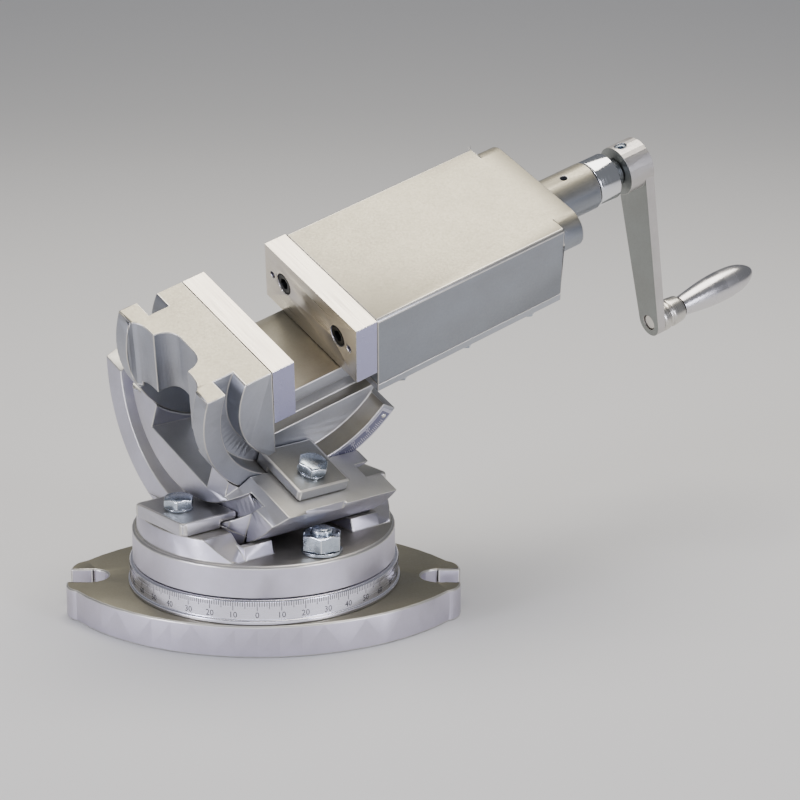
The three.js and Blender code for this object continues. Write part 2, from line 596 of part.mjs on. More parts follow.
const swivel = new THREE.Group();
swivel.rotation.z = rad(TURN.swivel);
part.add(swivel);
place(swivel, "turntable", turntable(), "casting");
const swivelBolts = new THREE.Group();
swivelBolts.rotation.z = rad(TABLE.boltTurn);
swivel.add(swivelBolts);
for (const [side, end] of [[-1, "front"], [1, "rear"]]) {
  const y = side * TABLE.boltCircle;
  place(swivelBolts, `swivel_bolt_${end}`, swivelBolt(y), "steel");
  place(swivelBolts, `swivel_washer_${end}`, swivelWasher(y), "steel");
  place(swivelBolts, `swivel_nut_${end}`, swivelNut(y), "steel");
}
for (const [side, end] of [[-1, "left"], [1, "right"]]) {
  const x = side * SIDE_CLAMP.bolt;
  place(swivel, `saddle_clamp_${end}`, sideClamp(side), "casting");
  place(swivel, `saddle_clamp_washer_${end}`, clampWasher(x, 0, SIDE_CLAMP_TOP), "steel");
  place(swivel, `saddle_clamp_bolt_${end}`, clampBolt(x, 0, SIDE_CLAMP_TOP, 24), "steel");
}

const sideTilt = new THREE.Group();
sideTilt.position.z = SIDE_AXIS;
sideTilt.rotation.x = rad(TURN.side);
swivel.add(sideTilt);
place(sideTilt, "saddle", saddle(), "casting");
for (const [side, end] of [[-1, "front"], [1, "rear"]]) {
  const y = side * END_CLAMP.bolt;
  place(sideTilt, `vise_clamp_${end}`, endClamp(side), "casting");
  place(sideTilt, `vise_clamp_washer_${end}`, clampWasher(0, y, END_CLAMP.top), "steel");
  place(sideTilt, `vise_clamp_bolt_${end}`, clampBolt(0, y, END_CLAMP.top, 22), "steel");
}

const endTilt = new THREE.Group();
endTilt.position.z = END_AXIS;
endTilt.rotation.y = -rad(TURN.end);
sideTilt.add(endTilt);
place(endTilt, "vise_body", viseBody(), "casting");
place(endTilt, "fixed_jaw_plate", jawPlate(JAW.face, -1), "ground");
place(endTilt, "lead_nut", leadNut(), "bronze");
place(endTilt, "lead_nut_screw", nutScrew(), "steel");

const slide = new THREE.Group();
endTilt.add(slide);
const movingFace = JAW.face + JAW.opening;
place(slide, "movable_jaw", movableJaw(), "casting");
place(slide, "movable_jaw_plate", jawPlate(movingFace, 1), "ground");
for (const [side, end] of [[-1, "front"], [1, "rear"]]) {
  place(endTilt, `fixed_plate_screw_${end}`, plateScrew(JAW.face, -1, side), "steel");
  place(endTilt, `fixed_plate_dowel_${end}`, dowel(JAW.face, -1, side), "steel");
  place(slide, `movable_plate_screw_${end}`, plateScrew(movingFace, 1, side), "steel");
  place(slide, `movable_plate_dowel_${end}`, dowel(movingFace, 1, side), "steel");
  place(slide, `keeper_${end}`, keeper(side), "ground");
  KEEPER_BOLTS.forEach((x, i) => place(slide, `keeper_bolt_${end}_${i + 1}`, keeperBolt(x, side), "steel"));
}
place(slide, "lead_screw", leadScrew(), "steel");
place(slide, "thrust_ring", thrustRing(), "steel");
place(slide, "screw_collar", screwCollar(), "polished");

const crank = new THREE.Group();
crank.position.z = SCREW_AXIS;
crank.rotation.x = -rad(ARM.angle);
slide.add(crank);
place(crank, "crank_arm", crankArm(), "casting");
place(crank, "crank_set_screw", crankSetScrew(), "steel");
place(crank, "handle_spindle", handleSpindle(), "steel");
place(crank, "crank_grip", grip(), "polished");

export default part;
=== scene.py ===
import json
import math

import bmesh
import bpy
import numpy as np
from mathutils import Matrix, Vector

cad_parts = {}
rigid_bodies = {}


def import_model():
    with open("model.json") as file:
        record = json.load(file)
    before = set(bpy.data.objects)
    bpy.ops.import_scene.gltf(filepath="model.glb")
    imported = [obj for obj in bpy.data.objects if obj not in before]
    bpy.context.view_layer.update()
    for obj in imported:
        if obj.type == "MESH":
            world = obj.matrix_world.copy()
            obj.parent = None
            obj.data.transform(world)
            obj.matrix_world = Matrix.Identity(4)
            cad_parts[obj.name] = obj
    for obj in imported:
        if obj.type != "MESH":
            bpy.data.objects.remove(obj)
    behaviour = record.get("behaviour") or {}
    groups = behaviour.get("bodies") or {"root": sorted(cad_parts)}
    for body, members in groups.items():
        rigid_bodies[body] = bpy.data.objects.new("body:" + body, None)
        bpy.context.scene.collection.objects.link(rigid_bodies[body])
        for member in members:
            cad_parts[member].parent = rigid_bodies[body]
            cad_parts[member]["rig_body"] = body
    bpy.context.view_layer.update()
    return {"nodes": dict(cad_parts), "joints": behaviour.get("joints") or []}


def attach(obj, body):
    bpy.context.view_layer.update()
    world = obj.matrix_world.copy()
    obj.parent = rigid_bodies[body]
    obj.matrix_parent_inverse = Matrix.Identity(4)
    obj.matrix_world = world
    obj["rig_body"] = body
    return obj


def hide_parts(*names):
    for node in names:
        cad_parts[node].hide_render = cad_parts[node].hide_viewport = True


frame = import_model()
MM = 0.001


# ---- Base casting ------------------------------------------------------------------------------------
# A flat boat-shaped plate with an open slot in each end and a round boss, cast in iron and plated. Its
# top is painted darker and warmer than its lavender rim, as painted light and shade. It is bolted down by
# the slots, and its edges are worn bright, partly a painted highlight.
def linear(hex_colour):
    """An sRGB hex colour as linear RGBA: c / 12.92 below 0.04045, else ((c + 0.055) / 1.055) ^ 2.4."""
    srgb = np.array([int(hex_colour[i : i + 2], 16) for i in (1, 3, 5)]) / 255
    return (*np.where(srgb <= 0.04045, srgb / 12.92, ((srgb + 0.055) / 1.055) ** 2.4), 1.0)


def add_node(tree, kind, links=None, **settings):
    """Adds a node, sets its properties, and sets or links its inputs."""
    node = tree.nodes.new(kind)
    for name, value in settings.items():
        setattr(node, name, value)
    for socket, value in (links or {}).items():
        if isinstance(value, bpy.types.NodeSocket):
            tree.links.new(value, node.inputs[socket])
        else:
            node.inputs[socket].default_value = value
    return node


def new_metal(name, colour, roughness):
    """A bare metallic shader with its colour and roughness; returns the material, its tree and its shader."""
    metal = bpy.data.materials.new(name)
    metal.use_nodes = True
    shader = metal.node_tree.nodes["Principled BSDF"]
    shader.inputs["Metallic"].default_value = 1.0
    shader.inputs["Base Color"].default_value = linear(colour)
    shader.inputs["Roughness"].default_value = roughness
    return metal, metal.node_tree, shader


def vary(tree, shader, pattern, low, high, socket="Roughness"):
    """Drives a shader input from low to high with a 0-to-1 pattern."""
    ranged = add_node(tree, "ShaderNodeMapRange", {"Value": pattern, "From Min": 0.3, "From Max": 0.7,
                                                   "To Min": low, "To Max": high})
    tree.links.new(ranged.outputs["Result"], shader.inputs[socket])


def plated_iron(name, up, top_painted_light, side_painted_light, roughness=0.46):
    """Plated cast iron: the top colour on faces that look along up, the side colour on the others, as painted
    light and shade.
    """
    metal, tree, shader = new_metal(name, top_painted_light, roughness)
    place = add_node(tree, "ShaderNodeTexCoord")
    # Painted light and shade: faces looking along up take the top colour, the rest the side colour.
    facing_for_painted_light = add_node(tree, "ShaderNodeVectorMath", {0: place.outputs["Normal"], 1: up},
                      operation="DOT_PRODUCT")
    painted_light_share = add_node(tree, "ShaderNodeMapRange", {"Value": facing_for_painted_light.outputs["Value"], "From Min": 0.5,
                                                  "From Max": 0.9})
    cloud = add_node(tree, "ShaderNodeTexNoise", {"Vector": place.outputs["Object"], "Scale": 1 / (22 * MM),
                                                  "Detail": 4.0, "Roughness": 0.6})
    grit = add_node(tree, "ShaderNodeTexNoise", {"Vector": place.outputs["Object"], "Scale": 1 / (1.1 * MM),
                                                 "Detail": 3.0, "Roughness": 0.7})
    face = add_node(tree, "ShaderNodeMix", {"Factor": painted_light_share.outputs["Result"], "A": linear(side_painted_light),
                                            "B": linear(top_painted_light)}, data_type="RGBA")
    dull = add_node(tree, "ShaderNodeMapRange", {"Value": cloud.outputs["Fac"], "From Min": 0.35,
                                                 "From Max": 0.75, "To Max": 0.22})
    stained = add_node(tree, "ShaderNodeMix", {"Factor": dull.outputs["Result"], "A": face.outputs["Result"],
                                               "B": linear("#77736A")}, data_type="RGBA")
    tree.links.new(stained.outputs["Result"], shader.inputs["Base Color"])
    vary(tree, shader, grit.outputs["Fac"], roughness - 0.07, roughness + 0.08)
    bump = add_node(tree, "ShaderNodeBump", {"Height": grit.outputs["Fac"], "Strength": 0.35,
                                             "Distance": 0.03 * MM})
    tree.links.new(bump.outputs["Normal"], shader.inputs["Normal"])
    return metal


def soften(node, edge_mm, slot, *metals, segments=2, flat_mm2=math.inf, clamp=False):
    """A copy of a CAD node, merged and with its flat faces whole, whose edges are rounded by a bevel edge_mm
    wide. The bevel takes the last of the metals, so that a second one shows worn edges, on the castings
    partly a painted highlight. Faces larger than flat_mm2 are shaded flat up to their borders. clamp keeps
    bevels from running into each other."""
    mesh = frame["nodes"][node].data.copy()
    mesh.materials.clear()
    for metal in metals:
        mesh.materials.append(metal)
    work = bmesh.new()
    work.from_mesh(mesh)
    bmesh.ops.remove_doubles(work, verts=work.verts, dist=0.002 * MM)
    bmesh.ops.dissolve_limit(work, angle_limit=math.radians(0.4), verts=work.verts, edges=work.edges)
    bmesh.ops.triangulate(work, faces=work.faces, quad_method="BEAUTY", ngon_method="BEAUTY")
    work.edges.index_update()
    creased = [edge.index for edge in work.edges if edge.calc_face_angle(0) > math.radians(0.5)
               and max(face.calc_area() for face in edge.link_faces) > flat_mm2 * MM**2]
    work.to_mesh(mesh)
    work.free()
    mesh.shade_smooth()
    mesh.set_sharp_from_angle(angle=math.radians(34))
    for index in creased:
        mesh.edges[index].use_edge_sharp = True
    piece = bpy.data.objects.new(node + "_softened", mesh)
    bpy.context.scene.collection.objects.link(piece)
    bevel = piece.modifiers.new("rounded_edges", "BEVEL")
    bevel.width = edge_mm * MM
    bevel.segments = segments
    bevel.limit_method = "ANGLE"
    bevel.angle_limit = math.radians(34)
    bevel.use_clamp_overlap = clamp
    bevel.harden_normals = True
    bevel.material = len(metals) - 1
    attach(piece, frame["nodes"][node]["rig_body"])
    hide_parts(node)
    return piece


def worn_edge(name, colour, roughness):
    """Plating rubbed through to smooth bright metal, a little uneven along the edge; on the castings' bevels
    its light colour is also a painted highlight.
    """
    metal, tree, shader = new_metal(name, colour, roughness)
    place = add_node(tree, "ShaderNodeTexCoord")
    rub = add_node(tree, "ShaderNodeTexNoise", {"Vector": place.outputs["Object"], "Scale": 1 / (3 * MM),
                                                "Detail": 2.0})
    vary(tree, shader, rub.outputs["Fac"], roughness - 0.03, roughness + 0.05)
    return metal


UP = Vector((0, 0, 1))
# Light edge colour on the castings' bevels: worn plating and, in part, a painted highlight.
worn_and_highlight_edge = worn_edge("rubbed_edge_and_painted_highlight", "#D3D1CC", 0.38)
# Painted light and shade: a darker warm top and a lighter lavender rim.
base_iron = plated_iron("base_iron_painted_light", UP, "#9C9888", "#CAC6D2")
soften("base_plate", 0.9, "cast_body", base_iron, worn_and_highlight_edge, segments=3)


# ---- Graduated dial ring -----------------------------------------------------------------------------
# A steel ring turned and bright-plated, pressed round the base's boss. The lathe leaves fine rings that
# stretch the highlights. Degrees are engraved round it, longer every 5 and 10, with a number every 10.
def grid_faces(rows, columns):
    """Quads between neighbouring points of a rows by columns grid that closes round its columns."""
    corner = np.arange(rows - 1)[:, None] * columns + np.arange(columns)[None, :]
    beside = np.roll(corner, -1, axis=1)
    return np.stack([corner, beside, beside + columns, corner + columns], axis=-1).reshape(-1, 4)


def fillet(profile, radius, steps=4):
    """Rounds a profile's inner corners: each becomes a quadratic curve from a point before it to one after,
    radius away or 0.45 of the shorter side."""
    points = np.array(profile, float)
    before, corner, after = points[:-2], points[1:-1], points[2:]
    to_before, to_after = before - corner, after - corner
    span_before = np.linalg.norm(to_before, axis=1, keepdims=True)
    span_after = np.linalg.norm(to_after, axis=1, keepdims=True)
    cut = np.minimum(radius, 0.45 * np.minimum(span_before, span_after))
    start = corner + to_before / span_before * cut
    end = corner + to_after / span_after * cut
    t = np.linspace(0, 1, steps)[None, :, None]
    curve = (1 - t) ** 2 * start[:, None] + 2 * t * (1 - t) * corner[:, None] + t**2 * end[:, None]
    return np.vstack([points[:1], curve.reshape(-1, 2), points[-1:]])


def revolve(profile, sides):
    """Points (r cos a, r sin a, h) of a profile of (r, h) turned through all angles a."""
    angle = np.linspace(0, 2 * np.pi, sides, endpoint=False)
    r, h = profile[:, :1], profile[:, 1:]
    return np.stack([r * np.cos(angle), r * np.sin(angle), h + 0 * angle], axis=-1).reshape(-1, 3)


def new_piece(name, points, faces, metals, body, slot, where=Matrix.Identity(4), smooth_deg=40):
    """A mesh from points in millimetres in the frame where, with its doubles merged and faces outwards."""
    turn = np.array(where.to_3x3())
    placed = points * MM @ turn.T + np.array(where.translation)
    mesh = bpy.data.meshes.new(name)
    mesh.from_pydata(placed.tolist(), [], faces if isinstance(faces, list) else faces.tolist())
    work = bmesh.new()
    work.from_mesh(mesh)
    bmesh.ops.remove_doubles(work, verts=work.verts, dist=0.001 * MM)
    bmesh.ops.recalc_face_normals(work, faces=work.faces)
    work.to_mesh(mesh)
    work.free()
    for metal in metals:
        mesh.materials.append(metal)
    mesh.shade_smooth()
    mesh.set_sharp_from_angle(angle=math.radians(smooth_deg))
    piece = bpy.data.objects.new(name, mesh)
    bpy.context.scene.collection.objects.link(piece)
    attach(piece, body)
    return piece


def turned_metal(name, colour, roughness, where, pitch_mm=0.9, depth_mm=0.004):
    """Lathe-turned metal: rings of noise on (distance from the axis, height), the axis being where's Z."""
    metal, tree, shader = new_metal(name, colour, roughness)
    place = add_node(tree, "ShaderNodeTexCoord")
    local = add_node(tree, "ShaderNodeMapping", {"Vector": place.outputs["Object"],
                                                 "Location": where.translation,
                                                 "Rotation": where.to_euler()}, vector_type="TEXTURE")
    flat = add_node(tree, "ShaderNodeVectorMath", {0: local.outputs["Vector"], 1: (1, 1, 0)},
                    operation="MULTIPLY")
    reach = add_node(tree, "ShaderNodeVectorMath", {0: flat.outputs["Vector"]}, operation="LENGTH")
    parts = add_node(tree, "ShaderNodeSeparateXYZ", {"Vector": local.outputs["Vector"]})
    along = add_node(tree, "ShaderNodeMath", {0: reach.outputs["Value"], 1: parts.outputs["Z"]})
    rings = add_node(tree, "ShaderNodeTexNoise", {"W": along.outputs["Value"], "Scale": 1 / (pitch_mm * MM),
                                                  "Detail": 3.0}, noise_dimensions="1D")
    vary(tree, shader, rings.outputs["Fac"], roughness - 0.03, roughness + 0.05)
    bump = add_node(tree, "ShaderNodeBump", {"Height": rings.outputs["Fac"], "Strength": 0.5,
                                             "Distance": depth_mm * MM})
    tree.links.new(bump.outputs["Normal"], shader.inputs["Normal"])
    return metal


DIAL_RADIUS, DIAL_INNER, DIAL_FOOT, DIAL_TOP = 64.2, 60.3, 15.9, 27.5
dial_profile = [(DIAL_INNER, DIAL_FOOT), (DIAL_RADIUS + 0.8, DIAL_FOOT), (DIAL_RADIUS + 0.8, DIAL_FOOT + 1.6),
                (DIAL_RADIUS, DIAL_FOOT + 2.1), (DIAL_RADIUS, DIAL_TOP - 0.7), (DIAL_RADIUS - 0.7, DIAL_TOP),
                (DIAL_INNER, DIAL_TOP), (DIAL_INNER, DIAL_FOOT)]
dial_steel = turned_metal("bright_turned_dial_steel", "#EAE9F5", 0.24, Matrix.Identity(4))
DIAL_SIDES = 240
dial_points = revolve(fillet(dial_profile, 0.35), DIAL_SIDES)
dial_faces = grid_faces(len(dial_points) // DIAL_SIDES, DIAL_SIDES)
dial = new_piece("dial_ring_turned", dial_points, dial_faces, [dial_steel], "base", "bright_ring")
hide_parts("dial_ring")

BOX_FACES = np.array([(0, 3, 2, 1), (4, 5, 6, 7), (0, 1, 5, 4), (1, 2, 6, 5), (2, 3, 7, 6), (3, 0, 4, 7)])
BOX_CORNERS = np.array([(x, y, z) for z in (0, 1) for x, y in ((0, 0), (1, 0), (1, 1), (0, 1))], float)


def graduation_boxes(degrees, width, start, direction):
    """One thin box for each degree mark, as (across, along, depth) corners: along runs from start in the
    direction's sense, 2.2 mm at a degree, 3.2 at every fifth and 4.3 at every tenth."""
    length = np.where(degrees % 10 == 0, 4.3, np.where(degrees % 5 == 0, 3.2, 2.2))
    across = (BOX_CORNERS[None, :, 0] - 0.5) * width + 0 * length[:, None]
    along = start + direction * BOX_CORNERS[None, :, 1] * length[:, None]
    depth = -0.1 + 0.13 * BOX_CORNERS[None, :, 2] + 0 * length[:, None]
    faces = (np.arange(len(degrees))[:, None, None] * 8 + BOX_FACES[None]).reshape(-1, 4)
    return across, along, depth, faces


def flat_number(text, height):
    """Points (across, along, depth) and faces of a figure from the built-in font, centred, 0.12 mm thick."""
    curve = bpy.data.curves.new("figure", "FONT")
    curve.body = text
    curve.size = height * 1.4
    curve.align_x = "CENTER"
    curve.align_y = "CENTER"
    curve.extrude = 0.06
    curve.resolution_u = 2
    holder = bpy.data.objects.new("figure", curve)
    bpy.context.scene.collection.objects.link(holder)
    bpy.context.view_layer.update()
    mesh = holder.evaluated_get(bpy.context.evaluated_depsgraph_get()).to_mesh()
    points = np.zeros(len(mesh.vertices) * 3)
    mesh.vertices.foreach_get("co", points)
    faces = [list(face.vertices) for face in mesh.polygons]
    holder.to_mesh_clear()
    bpy.data.objects.remove(holder)
    bpy.data.curves.remove(curve)
    return points.reshape(-1, 3), faces


def engraving(name, marks, numbers, lay, paint, body, where=Matrix.Identity(4), upward=1):
    """Marks and figures laid on a surface as one mesh. Marks are (degrees, across, along, depth, faces) and
    numbers (degree, text, height, along); lay(angle, across, along, depth) gives points in where. A figure's
    top points along the upward sense of along."""
    degrees, across, along, depth, faces = marks
    points = [lay(np.radians(degrees)[:, None], across, along, depth).reshape(-1, 3)]
    faces = faces.tolist()
    count = len(points[0])
    for degree, text, height, level in numbers:
        shape, outline = flat_number(text, height)
        points.append(lay(np.radians(degree), shape[:, 0], level + upward * shape[:, 1], shape[:, 2] - 0.02))
        faces += [[corner + count for corner in face] for face in outline]
        count += len(shape)
    return new_piece(name, np.vstack(points), faces, [paint], body, "turned_steel", where)


def on_dial(angle, across, along, depth):
    """A point at angle + across / radius round the dial, along up it and depth out from its wall."""
    turn = angle + across / DIAL_RADIUS
    reach = DIAL_RADIUS + depth
    return np.stack([reach * np.cos(turn), reach * np.sin(turn), along + 0 * turn], axis=-1)


paint_black, _, _ = new_metal("black_engraving_paint", "#23242A", 0.55)
paint_black.node_tree.nodes["Principled BSDF"].inputs["Metallic"].default_value = 0.0
dial_degrees = np.arange(360)
dial_numbers = [(d - 90, str(min(d, 360 - d)), 2.9, 20.3) for d in range(0, 360, 10)]
engraving("dial_ring_graduations", (dial_degrees, *graduation_boxes(dial_degrees, 0.3, DIAL_TOP - 0.75, -1)),
          dial_numbers, on_dial, paint_black, "base")


# ---- Turntable and its pivot -------------------------------------------------------------------------
# A plated iron disc that turns on a steel pin in the base. Two raised seats stand on it, with a hollow
# channel milled between them for the side rail. Its rim is turned and its top milled.
joint = {j["name"]: j for j in frame["joints"]}


def frame_of(x_axis, z_axis, origin):
    """The 4 by 4 matrix of a frame from two of its axes and its origin."""
    x, z = Vector(x_axis).normalized(), Vector(z_axis).normalized()
    columns = Matrix((x, z.cross(x), z)).transposed()
    return Matrix.Translation(Vector(origin)) @ columns.to_4x4()


side_axis = Vector(joint["side_tilt"]["axis"])
slide_axis = Vector(joint["jaw_slide"]["axis"])
cross_axis = -Vector(joint["end_tilt"]["axis"])
saddle_frame = frame_of(side_axis, side_axis.cross(cross_axis), joint["side_tilt"]["pos_m"])
vise_frame = frame_of(slide_axis, slide_axis.cross(cross_axis), joint["end_tilt"]["pos_m"])

# Painted light and shade: a darker warm top and a lighter lavender rim.
table_iron = plated_iron("turntable_iron_painted_light", UP, "#AFACA2", "#D3D0DC")
soften("turntable", 0.5, "cast_body", table_iron, worn_and_highlight_edge)
steel_pin = turned_metal("turned_pin_steel", "#A9ABAE", 0.3, Matrix.Identity(4))
frame["nodes"]["pivot_pin"].data.materials.clear()
frame["nodes"]["pivot_pin"].data.materials.append(steel_pin)


# ---- Swivel bolts, washers and nuts ------------------------------------------------------------------
# Forged M10 bolts and nuts with a bluish zinc plate, soft and slightly cloudy. Their tee heads stand in
# the base's circular slot, and the ends of their threads show above the nuts.
def zinc_plate(name, colour, roughness):
    """Bright zinc with a cloudy passivated film, about 2 mm from patch to patch."""
    metal, tree, shader = new_metal(name, colour, roughness)
    place = add_node(tree, "ShaderNodeTexCoord")
    cloud = add_node(tree, "ShaderNodeTexNoise", {"Vector": place.outputs["Object"], "Scale": 1 / (2 * MM),
                                                  "Detail": 3.0})
    tint = add_node(tree, "ShaderNodeMix", {"Factor": cloud.outputs["Fac"], "A": linear(colour),
                                            "B": linear("#A3ADB8")}, data_type="RGBA")
    tree.links.new(tint.outputs["Result"], shader.inputs["Base Color"])
    vary(tree, shader, cloud.outputs["Fac"], roughness - 0.04, roughness + 0.06)
    return metal


zinc = zinc_plate("blue_zinc_plate", "#C3CDD8", 0.24)
zinc_edge = worn_edge("rubbed_zinc_edge", "#E2E7EC", 0.2)
for end in ("front", "rear"):
    soften(f"swivel_bolt_{end}", 0.2, "plated_bolts", zinc, zinc_edge)
    soften(f"swivel_washer_{end}", 0.25, "plated_bolts", zinc, zinc_edge)
    soften(f"swivel_nut_{end}", 0.35, "plated_bolts", zinc, zinc_edge)


# ---- Saddle clamps -----------------------------------------------------------------------------------
# Two thick plated iron plates on the turntable's seats, their outer corners cut off. Each has a lip in the
# side rail's groove and is held down by an M8 hexagon bolt on a washer.
# Painted light and shade: a darker top and lighter lavender sides.
clamp_iron = plated_iron("clamp_iron_painted_light", UP, "#A9A9A7", "#C2C1C7")
for side in ("left", "right"):
    soften(f"saddle_clamp_{side}", 1.3, "cast_body", clamp_iron, worn_and_highlight_edge, segments=4)
    soften(f"saddle_clamp_washer_{side}", 0.2, "plated_bolts", zinc, zinc_edge)
    soften(f"saddle_clamp_bolt_{side}", 0.3, "plated_bolts", zinc, zinc_edge)


# ---- Saddle ------------------------------------------------------------------------------------------
# One plated iron casting: an arc rail across the turntable below, a channel for the vise's rail above. The
# rail's rim faces are ground, and the right-hand one is graduated in degrees from its middle. Its warm top
# and lavender sides are painted light and shade.
saddle_up = saddle_frame.col[2].to_3d()
# Painted light and shade: a warm top and lavender sides.
saddle_iron = plated_iron("saddle_iron_painted_light", saddle_up, "#CBCAC4", "#C8C7D2")
soften("saddle", 0.5, "cast_body", saddle_iron, worn_and_highlight_edge)

SIDE_FACE, SIDE_RIM = 37.5, 75.0


def on_side_rail(angle, across, along, depth):
    """A point on the saddle's right-hand rim face: angle counts from straight down, along is the distance
    from the tilt axis and depth stands off the face."""
    swing = angle + across / along
    face = SIDE_FACE + depth + 0 * swing
    return np.stack([face, along * np.sin(swing), -along * np.cos(swing)], axis=-1)


TRIMMED_FROM = 36  # degrees from straight down to the corner that is cut off
rail_degrees = np.arange(-60, TRIMMED_FROM + 1)
marks = (rail_degrees, *graduation_boxes(rail_degrees, 0.3, SIDE_RIM - 0.8, -1))
numbers = [(d, str(abs(d)), 3.0, 67.2) for d in range(-50, TRIMMED_FROM, 10)]
engraving("saddle_graduations", marks, numbers, on_side_rail, paint_black, "saddle", saddle_frame, -1)


# ---- Vise clamps -------------------------------------------------------------------------------------
# Two square plated iron plates on the saddle's flat top. Each has a lip in the end rail's groove and an M8
# hexagon bolt.
# Painted light and shade: a darker top and lighter bluish sides.
vise_clamp_iron = plated_iron("vise_clamp_iron_painted_light", saddle_up, "#979792", "#B9BABD")
for end in ("front", "rear"):
    soften(f"vise_clamp_{end}", 1.5, "cast_body", vise_clamp_iron, worn_and_highlight_edge, segments=4)
    soften(f"vise_clamp_washer_{end}", 0.2, "plated_bolts", zinc, zinc_edge)
    soften(f"vise_clamp_bolt_{end}", 0.3, "plated_bolts", zinc, zinc_edge)


# ---- Vise body ---------------------------------------------------------------------------------------
# End rail, fixed jaw and bed in one plated iron casting. The rail wraps round the back of the jaw; a thin
# etched alloy scale is riveted to the front of its crank end. The bed between the jaws is ground.
vise_up = vise_frame.col[2].to_3d()
# Painted light and shade: a warm top and bluish sides.
vise_iron = plated_iron("vise_iron_painted_light", vise_up, "#AFAA9B", "#ADB0B8")
soften("vise_body", 0.5, "cast_body", vise_iron, worn_and_highlight_edge)


def on_end_rail(angle, across, along, depth):
    """A point on the vise's front rim face: angle counts from straight down towards the crank, along is the
    distance from the tilt axis and depth stands off the face."""
    swing = angle + across / along
    face = -(SIDE_FACE + depth) + 0 * swing
    return np.stack([along * np.sin(swing), face, -along * np.cos(swing)], axis=-1)


def scale_strip(inner, outer, start, end, low, high, steps=40):
    """A curved strip with a rectangular section, between two radii, two angles in degrees and two depths:
    its corners are on_end_rail(angle, 0, radius, depth) at even steps of the angle."""
    angle = np.radians(np.linspace(start, end, steps))[:, None]
    reach = np.array([inner, outer, outer, inner])[None, :] + 0 * angle
    depth = np.array([low, low, high, high])[None, :] + 0 * angle
    points = on_end_rail(angle + 0 * reach, 0, reach, depth).reshape(-1, 3)
    last = 4 * (steps - 1)
    caps = [[0, 1, 2, 3], [last, last + 1, last + 2, last + 3]]
    return points, grid_faces(steps, 4).tolist() + caps


plate_alloy, _, _ = new_metal("scale_plate_alloy", "#D5D4E2", 0.36)
plate_ground, _, _ = new_metal("scale_plate_dark_ground", "#85859C", 0.5)
rivet_steel, _, _ = new_metal("bright_rivet", "#F2F1EC", 0.2)
new_piece("scale_plate", *scale_strip(52.6, 60.4, 2, 44.2, -0.1, 0.3), [plate_alloy], "vise", "turned_steel",
          vise_frame)
new_piece("scale_plate_ground", *scale_strip(53.8, 59.6, 3.5, 42.6, 0.2, 0.36), [plate_ground], "vise",
          "black_screws", vise_frame)


def on_scale_plate(angle, across, along, depth):
    """A point on the scale plate's dark ground, where the marks stand 0.34 mm off the rim face."""
    return on_end_rail(angle, across, along, depth + 0.34)


end_degrees = np.arange(5, 39)
marks = (end_degrees, *graduation_boxes(end_degrees, 0.35, 59.2, -1))
numbers = [(d, str(d), 2.2, 54.9) for d in range(10, 40, 10)]
engraving("vise_graduations", marks, numbers, on_scale_plate, plate_alloy, "vise", vise_frame, -1)

RIVET_RADIUS, RIVET_HEIGHT, RIVET_REACH, RIVET_ANGLE = 1.3, 0.8, 56.7, math.radians(40.5)
RIVET_ROWS, RIVET_SIDES = 8, 24
dome = np.linspace(0, np.pi / 2, RIVET_ROWS)
rivet = revolve(np.stack([RIVET_RADIUS * np.cos(dome), RIVET_HEIGHT * np.sin(dome)], axis=1), RIVET_SIDES)
rivet_spot = Vector((RIVET_REACH * math.sin(RIVET_ANGLE), -SIDE_FACE - 0.3,
                     -RIVET_REACH * math.cos(RIVET_ANGLE)))
rivet_frame = vise_frame @ Matrix.Translation(rivet_spot * MM) @ Matrix.Rotation(math.pi / 2, 4, "X")
new_piece("scale_plate_rivet", rivet, grid_faces(RIVET_ROWS, RIVET_SIDES), [rivet_steel], "vise",
          "bright_ring", rivet_frame)


# ---- Jaw plates and their fixings --------------------------------------------------------------------
# Hardened steel plates, surface-ground so that fine straight lines run along them, brighter and warmer on
# top than the castings, with a painted bluish reflection on their ends. Each is held by two black socket
# screws in counterbores and located by two dowels.
def ground_steel(name, colour, end_painted_reflection, roughness, where, pitch_mm=0.7):
    """Surface-ground steel: noise stretched 40 to 1 along where's Y, so that its lines run across the vise.
    The ends, which look along Y, take the end colour, a painted bluish reflection."""
    metal, tree, shader = new_metal(name, colour, roughness)
    place = add_node(tree, "ShaderNodeTexCoord")
    facing_for_painted_light = add_node(tree, "ShaderNodeVectorMath", {0: place.outputs["Normal"], 1: where.col[1].to_3d()},
                      operation="DOT_PRODUCT")
    painted_end_share = add_node(tree, "ShaderNodeMath", {0: facing_for_painted_light.outputs["Value"]}, operation="ABSOLUTE")
    face = add_node(tree, "ShaderNodeMix", {"Factor": painted_end_share.outputs["Value"], "A": linear(colour),
                                            "B": linear(end_painted_reflection)}, data_type="RGBA")
    tree.links.new(face.outputs["Result"], shader.inputs["Base Color"])
    local = add_node(tree, "ShaderNodeMapping", {"Vector": place.outputs["Object"],
                                                 "Location": where.translation,
                                                 "Rotation": where.to_euler()}, vector_type="TEXTURE")
    stretch = add_node(tree, "ShaderNodeVectorMath", {0: local.outputs["Vector"], 1: (1, 1 / 40, 1)},
                       operation="MULTIPLY")
    lines = add_node(tree, "ShaderNodeTexNoise", {"Vector": stretch.outputs["Vector"],
                                                  "Scale": 1 / (pitch_mm * MM), "Detail": 3.0})
    vary(tree, shader, lines.outputs["Fac"], roughness - 0.08, roughness + 0.12)
    bump = add_node(tree, "ShaderNodeBump", {"Height": lines.outputs["Fac"], "Strength": 0.4,
                                             "Distance": 0.01 * MM})
    tree.links.new(bump.outputs["Normal"], shader.inputs["Normal"])
    return metal


